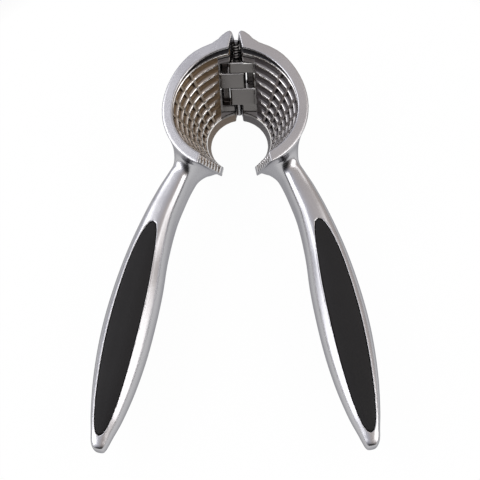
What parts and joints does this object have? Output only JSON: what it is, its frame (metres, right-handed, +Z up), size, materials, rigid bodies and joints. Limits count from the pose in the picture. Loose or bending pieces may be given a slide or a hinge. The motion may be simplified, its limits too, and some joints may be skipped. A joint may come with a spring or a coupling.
{
  "type": "conical nutcracker",
  "caption": "Two-handled conical nutcracker: ribbed half cones on an inclined hinge pin, chromed castings with soft black handle inlays.",
  "frame": {"origin": "centre of the box round the open tool, at its lowest level", "axes": "+X to the right half, +Y from the handles to the hinge, +Z up out of the cup's wide mouth"},
  "size_m": [0.1068, 0.1672, 0.0367],
  "materials": {
    "cast_chrome": "satin",
    "pin_steel": "satin",
    "spring_steel": "satin",
    "black_rubber": "matte"
  },
  "bodies": {
    "left_half": {"left_casting": "cast_chrome", "hinge_pin": "pin_steel", "opening_spring": "spring_steel", "left_inlay_front": "black_rubber", "left_inlay_back": "black_rubber"},
    "right_half": {"right_casting": "cast_chrome", "right_inlay_front": "black_rubber", "right_inlay_back": "black_rubber"}
  },
  "joints": [
    {"name": "hinge", "type": "hinge", "parent": "left_half", "child": "right_half", "pos_m": [0, 0.08285, 0.03686], "axis": [0, -0.4886, -0.8725], "range_deg": [0, 28.7], "stiffness_Nm_per_rad": 0.15, "deforming": ["opening_spring"]}
  ]
}
